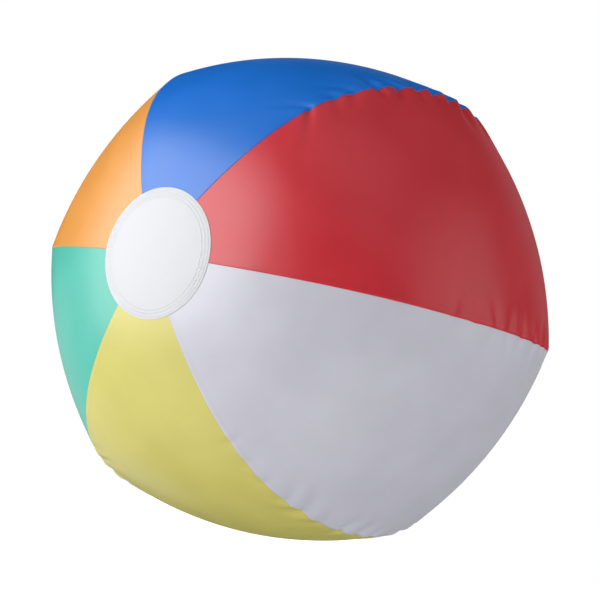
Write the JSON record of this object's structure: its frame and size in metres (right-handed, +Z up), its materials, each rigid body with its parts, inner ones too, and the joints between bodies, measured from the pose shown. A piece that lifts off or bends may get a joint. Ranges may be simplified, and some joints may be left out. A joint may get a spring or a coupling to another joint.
{
  "type": "inflatable beach ball",
  "caption": "Inflated beach ball of welded coloured film gores with white end discs and a push-in valve that has a hinged stopper and a check flap.",
  "frame": {"origin": "centre of the ball", "axes": "+Y along the polar axis towards the valve, so the plain end disc faces -Y; +Z up through the middle of the blue panel"},
  "size_m": [0.2636, 0.2444, 0.25],
  "materials": {
    "film_blue": "semi-gloss calendered PVC film",
    "film_red": "semi-gloss calendered PVC film",
    "film_white": "semi-gloss calendered PVC film",
    "film_yellow": "semi-gloss calendered PVC film",
    "film_green": "semi-gloss calendered PVC film",
    "film_orange": "semi-gloss calendered PVC film",
    "disc_white": "semi-gloss PVC film with embossed weld rings",
    "valve_soft": "soft moulded PVC, milky",
    "check_white": "moulded, matt"
  },
  "bodies": {
    "ball": {"panel_blue": "film_blue", "panel_red": "film_red", "panel_white": "film_white", "panel_yellow": "film_yellow", "panel_green": "film_green", "panel_orange": "film_orange", "front_disc": "disc_white", "rear_disc": "disc_white", "valve_flange": "valve_soft", "valve_neck": "valve_soft"},
    "valve_stem": {"valve_stem": "valve_soft", "check_seat": "check_white"},
    "plug": {"stopper_plug": "valve_soft", "plug_strap": "valve_soft"},
    "check_flap": {"check_flap": "check_white"}
  },
  "joints": [
    {"name": "stem_slide", "type": "slide", "parent": "ball", "child": "valve_stem", "axis": [0, 1, 0], "range_m": [0, 0.012], "deforming": ["valve_neck"]},
    {"name": "plug_swing", "type": "hinge", "parent": "valve_stem", "child": "plug", "pos_m": [0.0074, 0.1209, 0], "axis": [0, 0, -1], "range_deg": [0, 120]},
    {"name": "flap_swing", "type": "hinge", "parent": "valve_stem", "child": "check_flap", "pos_m": [0.0032, 0.1057, 0], "axis": [0, 0, 1], "range_deg": [0, 60], "stiffness_Nm_per_rad": 0.000002}
  ]
}
